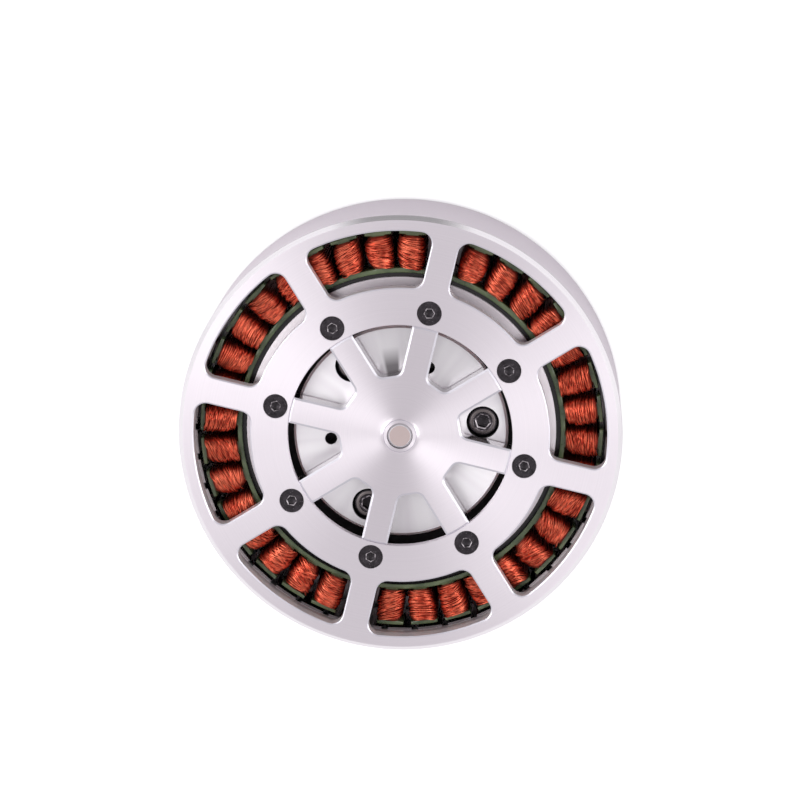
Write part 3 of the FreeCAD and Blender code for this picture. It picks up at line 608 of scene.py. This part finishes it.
# Painted shade: the stator flange is near-black because it lies in deep shade.
flange_shade_finish = dark_metal("flange_painted_shade")
shaft_metal = ground_shaft("ground_shaft_metal")
steel = plain_metal("plain_steel", (0.55, 0.55, 0.57, 1), 0.3)
bearing_steel = plain_metal("bearing_steel", (0.66, 0.66, 0.68, 1), 0.18)
oxide = black_oxide("black_oxide")
worn = plain_metal("worn_oxide", (0.20, 0.175, 0.175, 1), 0.34, 1200.0, 0.2)
rubbed = rubbed_highlight_steel("rubbed_steel_highlight_edges")
copper = copper_wire("enamelled_copper")
coating = core_coating("core_coating")
nickel = magnet_nickel("nickel_plate")
grommet_rubber = rubber("grommet_rubber")


# Rotor --------------------------------------------------------------------------------------------

def make_bell():
    """Face ring with bevelled windows, a lip at its bore, a rim and a skirt."""
    shell = Shell()
    bevel, wall, chamfer = 1, 2, 3
    edge, edge_drop, fine_edge = 0.32, 0.17, 0.1
    rim = shell.lathe([
        (RIM - RIM_CHAMFER, FACE_TOP),
        (RIM - 0.07, FACE_TOP - RIM_CHAMFER + 0.07),
        (RIM, FACE_TOP - RIM_CHAMFER - 0.14),
        (RIM, FACE_TOP - RIM_CHAMFER - 0.3),
        (RIM, SKIRT_FOOT + fine_edge),
        (RIM - fine_edge, SKIRT_FOOT),
        (FLUX_OUTER, SKIRT_FOOT),
        (FLUX_OUTER, MAGNET_TOP),
        (WINDOW_OUTER + WINDOW_LEDGE, MAGNET_TOP),
        (WINDOW_OUTER + WINDOW_LEDGE, FACE_FOOT),
    ])
    shell.paint(rim[0] + rim[1], chamfer)
    shell.paint(rim[1] + rim[2], chamfer)
    bore = shell.lathe([
        (BORE + fine_edge, FACE_TOP),
        (BORE, FACE_TOP - fine_edge),
        (BORE, LIP_FOOT),
    ])
    recess = shell.lathe([(RECESS, LIP_FOOT), (RECESS, FACE_FOOT)])
    tops, feet, lips = [rim[0], bore[0]], [rim[-1], recess[-1]], [bore[-1], recess[0]]
    for number in range(ARM_COUNT):
        window = window_outline(number)
        loops = [
            shell.loop(inset(window, edge), FACE_TOP),
            shell.loop(window, FACE_TOP - edge_drop),
            shell.loop(window, FACE_FOOT + fine_edge),
            shell.loop(inset(window, fine_edge), FACE_FOOT),
        ]
        shell.strips(loops)
        shell.paint(loops[0] + loops[1], bevel)
        shell.paint(loops[1] + loops[2], wall)
        tops.append(loops[0])
        feet.append(loops[-1])
        seat = shell.lathe([
            (SCREW_HEAD + FIT, FACE_TOP),
            (SCREW_SHANK + SCREW_ROOM, FACE_TOP - SCREW_HEAD + SCREW_SHANK),
            (SCREW_SHANK + SCREW_ROOM, LIP_FOOT),
        ], SCREW_SEGMENTS, polar(SCREW_CIRCLE, ARM_PITCH * number))
        tops.append(seat[0])
        lips.append(seat[-1])
    shell.cap(*tops)
    shell.cap(*feet)
    shell.cap(*lips)
    materials = (face_metal, cut_metal, window_wall, rim_metal)
    piece = shell.finish("rotor_bell_detailed", materials, "rotor", BEVEL_CREASE)
    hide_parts("rotor_bell", "rotor_skirt")


def make_hub():
    """Dished hub with bevelled arms, a collar round the shaft, tongues and a boss below."""
    shell = Shell()
    bevel, wall = 1, 2
    edge, edge_drop = 0.5, 0.265
    collar_edge, groove, groove_depth = 0.16, 0.14, 1.2

    def dish(radius):
        """Height of the dished face at a radius."""
        return FACE_TOP - HUB_DISH * (HUB_RADIUS - radius) / (HUB_RADIUS - COLLAR_FOOT)

    outline = hub_outline()
    top = shell.loop(inset(outline, edge), dish)
    shoulder = shell.loop(outline, lambda radius: dish(radius) - edge_drop)
    heel = shell.loop(outline, HUB_FOOT + edge_drop)
    foot = shell.loop(inset(outline, edge_drop), HUB_FOOT)
    shell.strips([top, shoulder, heel, foot])
    shell.paint(top + shoulder, bevel)
    shell.paint(shoulder + heel, wall)
    dish_radii = [13.6, 11.5, 9.5, 7.5, 6.0, COLLAR_FOOT]
    fillet = COLLAR_FOOT - COLLAR
    bend = [(COLLAR_FOOT - fillet * math.sin(turn), dish(COLLAR_FOOT) + 0.45 * fillet * (1 - math.cos(turn)))
            for turn in map(math.radians, (25, 50, 75, 90))]
    crown = shell.lathe(
        [(radius, dish(radius)) for radius in dish_radii] + bend + [
            (COLLAR, COLLAR_TOP - collar_edge),
            (COLLAR - collar_edge, COLLAR_TOP),
            (SHAFT + groove + 0.04, COLLAR_TOP),
            (SHAFT + groove, COLLAR_TOP - 0.06),
            (SHAFT + groove, COLLAR_TOP - groove_depth),
            (SHAFT + FIT, COLLAR_TOP - groove_depth),
            (SHAFT + FIT, BOSS_FOOT),
            (BOSS, BOSS_FOOT),
            (BOSS, HUB_FOOT),
        ])
    # The collar wall and the bore groove get the darker metal as painted shade.
    for number, slot in ((9, wall), (10, bevel), (13, wall), (14, wall)):
        shell.paint(crown[number] + crown[number + 1], slot)
    shell.cap(top, crown[0])
    shell.cap(foot, crown[-1])
    half = HALF_ARM - FIT
    for number in range(ARM_COUNT):
        block = [(TONGUE_START, -half), (TONGUE_END, -half), (TONGUE_END, half), (TONGUE_START, half)]
        block = turned(block, ARM_PITCH * number)
        loops = [
            shell.loop(inset(block, TONGUE_EDGE), TONGUE_FOOT),
            shell.loop(block, TONGUE_FOOT + TONGUE_EDGE),
            shell.loop(block, LIP_FOOT),
        ]
        shell.strips(loops)
        shell.cap(loops[0])
        shell.cap(loops[-1])
    materials = (hub_metal, cut_metal, recess_shade_metal)
    piece = shell.finish("rotor_hub_detailed", materials, "rotor", BEVEL_CREASE)
    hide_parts("rotor_hub")


def hexagon(flats, centre, turn):
    """Corners of a hexagon of a given width across its flats, turned by an angle in degrees."""
    corner = flats / math.sqrt(3)
    angles = [math.radians(turn) + math.tau * step / 6 for step in range(6)]
    return [(centre[0] + corner * math.cos(angle), centre[1] + corner * math.sin(angle)) for angle in angles]


def socket(shell, ring, centre, top, flats, depth, turn):
    """Hexagon socket inside a ring of corners at its mouth, with a rubbed edge that also carries a painted
    highlight, and a drilled tip.
    """
    flare, edge_drop, tip_drop = 1.19, 0.14, 0.35
    mouth = shell.loop(hexagon(flats * flare, centre, turn), top)
    throat = shell.loop(hexagon(flats, centre, turn), top - edge_drop)
    floor = shell.loop(hexagon(flats, centre, turn), top - depth)
    shell.strip(mouth, throat)
    shell.paint(mouth + throat, RUBBED_HIGHLIGHT_SLOT)
    shell.strip(throat, floor)
    tip = shell.mesh.verts.new((centre[0], centre[1], top - depth - tip_drop))
    for number in range(len(floor)):
        shell.mesh.faces.new((floor[number], floor[(number + 1) % len(floor)], tip))
    shell.cap(ring, mouth)


def make_face_screws():
    """Countersunk screws with a rounded rim and a hexagon socket."""
    shell = Shell()
    for number in range(ARM_COUNT):
        centre = polar(SCREW_CIRCLE, ARM_PITCH * number)
        rings = shell.lathe([
            (SCREW_SHANK * 0.98, FACE_TOP - SCREW_LENGTH),
            (SCREW_SHANK * 0.98, FACE_TOP - SCREW_HEAD + SCREW_SHANK),
            (SCREW_HEAD - 0.06, FACE_TOP - 0.1),
            (SCREW_HEAD - 0.14, FACE_TOP - 0.01),
            (1.9, FACE_TOP - 0.01),
            (1.75, FACE_TOP - SOCKET_DROP),
        ], SCREW_SEGMENTS, centre)
        shell.cap(rings[0])
        mouth, turn = FACE_TOP - SOCKET_DROP, SCREW_TURN * number
        socket(shell, rings[-1], centre, mouth, SCREW_KEY, SCREW_KEY_DEPTH, turn)
    piece = shell.finish("face_screws_detailed", (oxide, rubbed), "rotor", SCREW_CREASE)
    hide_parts("face_screws")


def make_cap_screws():
    """Socket head cap screws with a rounded head edge."""
    shell = Shell()
    for number in range(CAP_COUNT):
        centre = polar(CAP_CIRCLE, CAP_START + 360 / CAP_COUNT * number)
        seat = CAP_TOP - CAP_HEAD_HEIGHT
        rings = shell.lathe([
            (CAP_SHANK * 0.98, CAP_FOOT),
            (CAP_SHANK * 0.98, seat),
            (CAP_HEAD - 0.05, seat),
            (CAP_HEAD, seat + 0.1),
            (CAP_HEAD, CAP_TOP - 0.45),
            (CAP_HEAD - 0.13, CAP_TOP - 0.14),
            (CAP_HEAD - 0.45, CAP_TOP),
            (CAP_HEAD - 1.1, CAP_TOP),
            (CAP_HEAD - 1.25, CAP_TOP - SOCKET_DROP),
        ], CAP_SEGMENTS, centre)
        shell.cap(rings[0])
        shell.paint(rings[-3] + rings[-2], WORN_SLOT)
        # Rubbed steel, also a painted highlight, on the ring round the socket.
        shell.paint(rings[-2] + rings[-1], RUBBED_HIGHLIGHT_SLOT)
        mouth, turn = CAP_TOP - SOCKET_DROP, CAP_TURN * number
        socket(shell, rings[-1], centre, mouth, CAP_KEY, CAP_KEY_DEPTH, turn)
    materials = (oxide, rubbed, worn)
    piece = shell.finish("cap_screws_detailed", materials, "stator", SCREW_CREASE)
    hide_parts("cap_screws")


# Coils --------------------------------------------------------------------------------------------

def end_turn_path(half_width, top, foot, rise):
    """Points round a coil's section: two domed end turns and two straight sides, with their turn."""
    top_steps, foot_steps = 10, 6
    breadth, fullness = 0.85, 0.75
    path = []
    for step in range(top_steps + 1):
        turn = math.pi * step / top_steps
        across = math.copysign(abs(math.cos(turn)) ** breadth, math.cos(turn))
        path.append((half_width * across, top - rise + rise * math.sin(turn) ** fullness, turn))
    path.append((-half_width, (top + foot) / 2, math.pi))
    for step in range(foot_steps + 1):
        turn = math.pi + math.pi * step / foot_steps
        path.append((half_width * math.cos(turn), foot + rise + rise * math.sin(turn), turn))
    path.append((half_width, (top + foot) / 2, math.tau))
    return path


def wind_coil(corners, faces, degrees, chance):
    """One coil: an inner block, a layer of close strands, and looser strands across its top."""
    spin = math.radians(degrees)
    cos, sin = math.cos(spin), math.sin(spin)
    length = COIL_END - COIL_START
    wire, sides = WIRE_RADIUS, WIRE_SIDES
    lean = chance.choice((-1, 1)) * chance.uniform(0.6, 2.8)
    gather, gather_side = chance.uniform(0.0, 1.6), chance.choice((-1, 1))
    bow = chance.uniform(-0.9, 0.9)
    swell = chance.uniform(0.25, 0.5)
    bulge = chance.uniform(0.25, 0.5)
    crest = chance.uniform(0.3, 0.7)

    def width_at(share):
        """Half the coil's width, from its inner end at 0 to its outer end at 1."""
        return COIL_HALF_WIDTH + COIL_SPREAD * share - bulge * abs(2 * share - 1) ** 3

    def tube(path, shift, slide):
        """A closed wire along a path, shifted along the tooth and slid across it."""
        base = len(corners)
        count = len(path)
        for number, (across, level, turn) in enumerate(path):
            before, after = path[number - 1], path[(number + 1) % count]
            run = Vector((0, after[0] - before[0], after[1] - before[1])).normalized()
            out = Vector((1, 0, 0)).cross(run)
            for side in range(sides):
                turn_side = math.tau * side / sides
                x = shift(turn) + wire * math.cos(turn_side)
                y = across + slide + out.y * wire * math.sin(turn_side)
                z = level + out.z * wire * math.sin(turn_side)
                corners.append(((x * cos - y * sin) * MM, (x * sin + y * cos) * MM, z * MM))
        for number in range(count):
            after = (number + 1) % count
            for side in range(sides):
                beside = (side + 1) % sides
                faces.append((base + number * sides + side, base + number * sides + beside,
                              base + after * sides + beside, base + after * sides + side))

    def strand(share, layer, tilt, sway, slide=0.0):
        """One turn of wire at a share of the coil's length, a layer above the others."""
        phase = chance.uniform(0, math.tau)
        place_now = COIL_START + wire + share * (length - 2 * wire)
        dome = 0.35 * abs(share - crest) + 0.4 * abs(2 * share - 1) ** 4
        top = COIL_TOP - COIL_CROWN - dome + layer + chance.uniform(-0.07, 0.07)
        half_width = width_at(share) - 0.3 + layer
        path = end_turn_path(half_width, top, COIL_FOOT + COIL_TOP - top, END_TURN_RISE)

        def shift(turn):
            """Distance from the shaft at a turn of the path, held inside the coil's ends."""
            wanted = place_now + tilt * math.cos(turn) + sway * math.sin(2 * turn + phase)
            wanted -= gather * (2 * share - 1) * (1 + gather_side * math.cos(turn)) / 2
            over = max(math.sin(turn), 0)
            wanted += over * (bow * (1 - abs(2 * share - 1) ** 2) - swell * (1 - share) ** 3)
            return min(max(wanted, COIL_START + wire - swell * over), COIL_END - wire)

        tube(path, shift, slide)

    inner = []
    inner_rise, inner_margin = 2.4, 0.1
    for share in (0.0, 0.12, 0.5, 0.88, 1.0):
        shrink = 0.9 if share in (0.0, 1.0) else 0.5
        top = COIL_TOP - 0.5 - shrink - 0.5 * abs(2 * share - 1) ** 3
        path = end_turn_path(width_at(share) - shrink, top, COIL_FOOT + COIL_TOP - top, inner_rise)
        x = COIL_START + inner_margin + share * (length - 2 * inner_margin)
        base = len(corners)
        for across, level, turn in path:
            corners.append(((x * cos - across * sin) * MM, (x * sin + across * cos) * MM, level * MM))
        inner.append(range(base, base + len(path)))
    for one, two in zip(inner, inner[1:]):
        for number in range(len(one)):
            after = (number + 1) % len(one)
            faces.append((one[number], one[after], two[after], two[number]))
    faces.append(tuple(inner[0]))
    faces.append(tuple(inner[-1]))

    for number in range(CLOSE_STRANDS):
        share = (number + 0.5) / CLOSE_STRANDS
        edge = 1 - abs(2 * share - 1) ** 2
        tilt = lean * (0.15 + 0.85 * edge) * chance.uniform(0.7, 1.0) * 0.7
        strand(share, chance.uniform(-0.08, 0.08), tilt, chance.uniform(-0.1, 0.1))
    for number in range(LOOSE_STRANDS):
        share = min(max(chance.gauss(crest, 0.28), 0.06), 0.94)
        tilt = lean * 0.8 + chance.uniform(-0.7, 0.7)
        strand(share, chance.uniform(0.1, 0.28), tilt, chance.uniform(-0.15, 0.15))
    side = chance.choice((-1, 1))
    for number in range(chance.randint(1, 5)):
        share = chance.uniform(0.2, 0.5)
        tilt = side * chance.uniform(0.7, 1.4)
        strand(share, 0.1, tilt, chance.uniform(-0.2, 0.2), side * chance.uniform(0.08, 0.3))


def make_core():
    """Coated core: a yoke and T-shaped teeth, with edges rounded by the coat."""
    def on_circle(radius, across):
        """The point of a circle at a distance from the tooth's middle line."""
        return (math.sqrt(radius ** 2 - across ** 2), across)

    half = [
        polar(YOKE, -HALF_GAP_TURN),
        on_circle(YOKE, -HALF_TOOTH),
        (TIP - TIP_ROOT, -HALF_TOOTH),
        (TIP - TIP_THICKNESS, -HALF_TIP),
        on_circle(TIP, -HALF_TIP),
        on_circle(TIP, -HALF_TOOTH),
        (TIP, 0.0),
    ]
    tooth = half + mirrored(half[:-1], 0)
    pitch = 360 / COIL_COUNT
    outline = [spot for number in range(COIL_COUNT) for spot in turned(tooth, pitch * number)]
    bends = [(COAT_ROUND * (1 - math.cos(turn)), COAT_ROUND * (1 - math.sin(turn)))
             for turn in (0, math.pi / 6, math.pi / 3, math.pi / 2)]
    shell = Shell()
    sides = [
        shell.loop(inset(outline, CORE_EDGE), CORE_FOOT),
        shell.loop(outline, CORE_FOOT + CORE_EDGE),
    ]
    sides += [shell.loop(inset(outline, inward), CORE_TOP - down) for inward, down in bends]
    shell.strips(sides)
    bore = shell.lathe([(SLEEVE, CORE_FOOT), (SLEEVE, BARE_TOP), (BARE_RADIUS, BARE_TOP)] + [
        (BARE_RADIUS + inward, CORE_TOP - down) for inward, down in bends])
    shell.cap(sides[0], bore[0])
    shell.cap(sides[-1], bore[-1])
    piece = shell.finish("stator_core_detailed", (coating,), "stator", CORE_CREASE)
    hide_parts("stator_core")


def make_coils():
    """Three phases of wound coils, each on pairs of neighbouring teeth."""
    letters = "abc"
    pitch = 360 / COIL_COUNT
    for phase, letter in enumerate(letters):
        chance = random.Random(WINDING_SEED + phase)
        corners, faces = [], []
        for pair in range(PAIR_COUNT):
            for tooth in range(2):
                place_in_ring = 2 * (len(letters) * pair + phase) + tooth
                wind_coil(corners, faces, pitch * place_in_ring, chance)
        data = bpy.data.meshes.new(f"coil_wires_{letter}")
        data.from_pydata(corners, [], faces)
        data.update()
        piece = place(f"coil_wires_{letter}", data, (copper,), "stator", WIRE_CREASE)
        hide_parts(f"coils_phase_{letter}")


# CAD nodes that stay as they are, with their finish -----------------------------------------------

FINISHES = {
    "shaft": shaft_metal,
    "flux_ring": steel,
    "magnets_north": nickel,
    "magnets_south": nickel,
    "bearing_housing": housing_finish,
    "stator_flange": flange_shade_finish,
    "core_sleeve": sleeve_metal,
    "base_plate": plate_metal,
    "lead_grommet": grommet_rubber,
    "front_bearing_inner_ring": bearing_steel,
    "front_bearing_outer_ring": bearing_steel,
    "rear_bearing_inner_ring": bearing_steel,
    "rear_bearing_outer_ring": bearing_steel,
    "bearing_spacer": steel,
    "preload_washer": steel,
    "bore_retaining_ring": oxide,
    "shaft_retaining_ring": oxide,
}


def finish_nodes():
    """Materials and small bevels on the CAD nodes that show as they are."""
    for name, material in FINISHES.items():
        data = nodes[name].data
        data.materials.clear()
        data.materials.append(material)
    soften("base_plate", 0.15)
    soften("bearing_housing", 0.12)
    soften("core_sleeve", 0.12)
    soften("magnets_north", 0.12)
    soften("magnets_south", 0.12)


# Stage, lamps and camera --------------------------------------------------------------------------

def make_floor():
    """A plain pale floor: white to the camera beyond the rim; in reflections, painted shade near the rim,
    lighter towards -X as painted light.
    """
    recipe = Recipe("floor_pale")
    path = recipe.add("ShaderNodeLightPath").outputs
    pale = recipe.blend(recipe.noise(6.0, 2.0), (0.84, 0.84, 0.85, 1), (0.87, 0.87, 0.88, 1))
    parts, distance = recipe.from_axis()
    # In reflections only: painted shade on the floor near the object, painted light towards -X, and the
    # plain tone far out.
    far = recipe.span(distance, 0.0, 1.0, 0.09, 0.16)
    left = recipe.span(parts[0], 0.0, 1.0, -0.035, -0.065)
    near = recipe.blend(left, (0.56, 0.55, 0.56, 1), (0.70, 0.69, 0.70, 1))
    mirrored_tone = recipe.blend(far, near, (0.90, 0.89, 0.90, 1))
    recipe.set(
        Base_Color=recipe.blend(path["Is Glossy Ray"], pale, mirrored_tone),
        Roughness=0.85,
    )
    glow = recipe.span(distance, 0.0, 0.5, 0.0520, 0.0545)
    recipe.set(
        Emission_Color=(1.0, 1.0, 1.0, 1.0),
        Emission_Strength=recipe.maths("MULTIPLY", path["Is Camera Ray"], glow),
    )
    bpy.ops.mesh.primitive_plane_add(size=8.0, location=(0, 0, 0))
    floor = bpy.context.object
    floor.name = "studio_floor"
    floor.data.materials.append(recipe.material)


def make_world():
    """White to the camera; to the object, a room dimmer overhead with a dark screen beyond +Y."""
    world = bpy.data.worlds.new("studio")
    bpy.context.scene.world = world
    world.use_nodes = True
    tree = world.node_tree
    tree.nodes.clear()

    def add(kind, inputs=None, **settings):
        """A new node of the world, with its inputs and settings."""
        node = tree.nodes.new(kind)
        for name, setting in settings.items():
            setattr(node, name, setting)
        for name, content in (inputs or {}).items():
            if isinstance(content, bpy.types.NodeSocket):
                tree.links.new(content, node.inputs[name])
            else:
                node.inputs[name].default_value = content
        return node

    direction = add("ShaderNodeTexCoord").outputs["Generated"]
    up = add("ShaderNodeSeparateXYZ", {0: direction}).outputs[2]
    light = add("ShaderNodeMapRange", {0: up, 1: 0.0, 2: 0.6, 3: 1.02, 4: 0.61}).outputs[0]
    screen = (*polar(1.0, 105), 0.1)
    near = add("ShaderNodeVectorMath", {0: direction, 1: screen}, operation="DOT_PRODUCT")
    near = near.outputs["Value"]
    shade = add("ShaderNodeMapRange", {0: near, 1: 0.93, 2: 0.985, 3: 1.0, 4: 0.38}).outputs[0]
    light = add("ShaderNodeMath", {0: light, 1: shade}, operation="MULTIPLY").outputs[0]
    room = add("ShaderNodeBackground", {"Color": (0.98, 0.955, 0.985, 1), "Strength": light}).outputs[0]
    white = add("ShaderNodeBackground", {"Color": (1, 1, 1, 1), "Strength": 1.0}).outputs[0]
    path = add("ShaderNodeLightPath").outputs["Is Camera Ray"]
    mix = add("ShaderNodeMixShader", {0: path, 1: room, 2: white}).outputs[0]
    add("ShaderNodeOutputWorld", {"Surface": mix})


def lamp(name, place_at, size, power):
    """A soft rectangular lamp aimed at the rotor's face, in metres and watts."""
    aim = (0, 0, 0.03)
    data = bpy.data.lights.new(name, "AREA")
    data.shape = "RECTANGLE"
    data.size, data.size_y = size
    data.energy = power
    item = bpy.data.objects.new(name, data)
    bpy.context.scene.collection.objects.link(item)
    item.location = place_at
    item.rotation_euler = (Vector(aim) - Vector(place_at)).to_track_quat("-Z", "Y").to_euler()
    return item


def make_camera():
    """A long lens above the face, a little towards +Y and turned about its own axis."""
    data = bpy.data.cameras.new("camera")
    data.lens = 144.0
    data.sensor_width = 36.0
    data.clip_start = 0.05
    data.clip_end = 20.0
    camera = bpy.data.objects.new("camera", data)
    bpy.context.scene.collection.objects.link(camera)
    place_at = Vector((-0.0019, 0.1641, 0.7907))
    aim = Vector((-0.00199, 0.00873, 0.033))
    upward = math.radians(13.27)
    forward = (aim - place_at).normalized()
    right = forward.cross(Vector((-math.sin(upward), math.cos(upward), 0))).normalized()
    up = right.cross(forward)
    facing = Matrix((right, up, -forward)).transposed().to_4x4()
    camera.matrix_world = Matrix.Translation(place_at) @ facing
    bpy.context.scene.camera = camera


make_bell()
make_hub()
make_face_screws()
make_cap_screws()
make_core()
make_coils()
finish_nodes()
make_floor()
make_world()
lamp("left_box", (-0.8, -0.04, 1.05), (0.6, 1.05), 4.7)
lamp("right_box", (0.8, 0.22, 1.05), (0.6, 1.05), 4.4)
lamp("left_accent", (-0.76, 0.3, 1.0), (0.4, 0.35), 0.65)
make_camera()
bpy.context.scene.view_settings.view_transform = "Standard"
